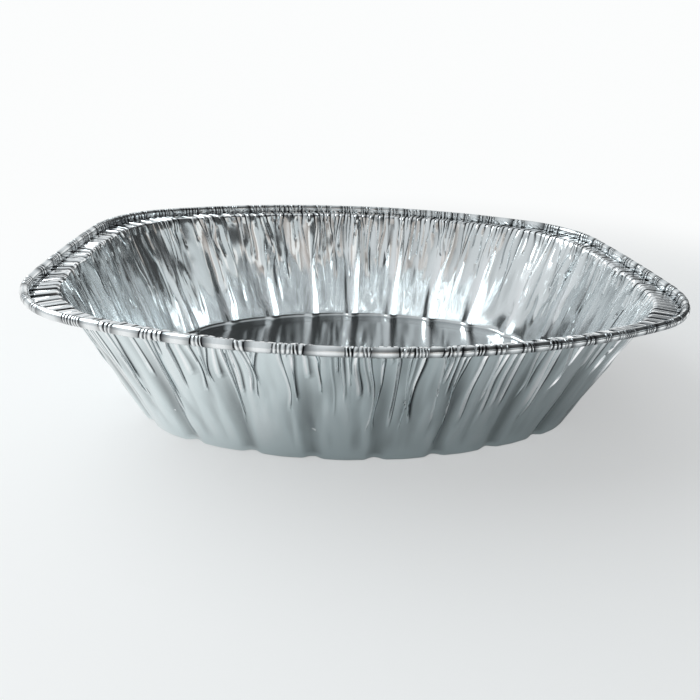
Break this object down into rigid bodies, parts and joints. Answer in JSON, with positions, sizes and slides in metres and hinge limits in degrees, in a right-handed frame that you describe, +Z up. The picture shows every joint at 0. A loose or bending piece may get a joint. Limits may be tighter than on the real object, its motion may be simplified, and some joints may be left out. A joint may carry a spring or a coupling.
{
  "type": "foil oval roasting tray",
  "caption": "Deep oval roasting tray of thin aluminium foil with a ribbed leaning wall, a pleated ledge and a rolled rim.",
  "frame": {"origin": "middle of the tray's footprint, on the table under it", "axes": "+X along the tray's length, +Y across it, +Z up out of its mouth"},
  "size_m": [0.45, 0.33, 0.1065],
  "materials": {
    "foil": "bright rolled foil, lightly creased"
  },
  "bodies": {
    "root": {"tray": "foil"}
  },
  "joints": []
}
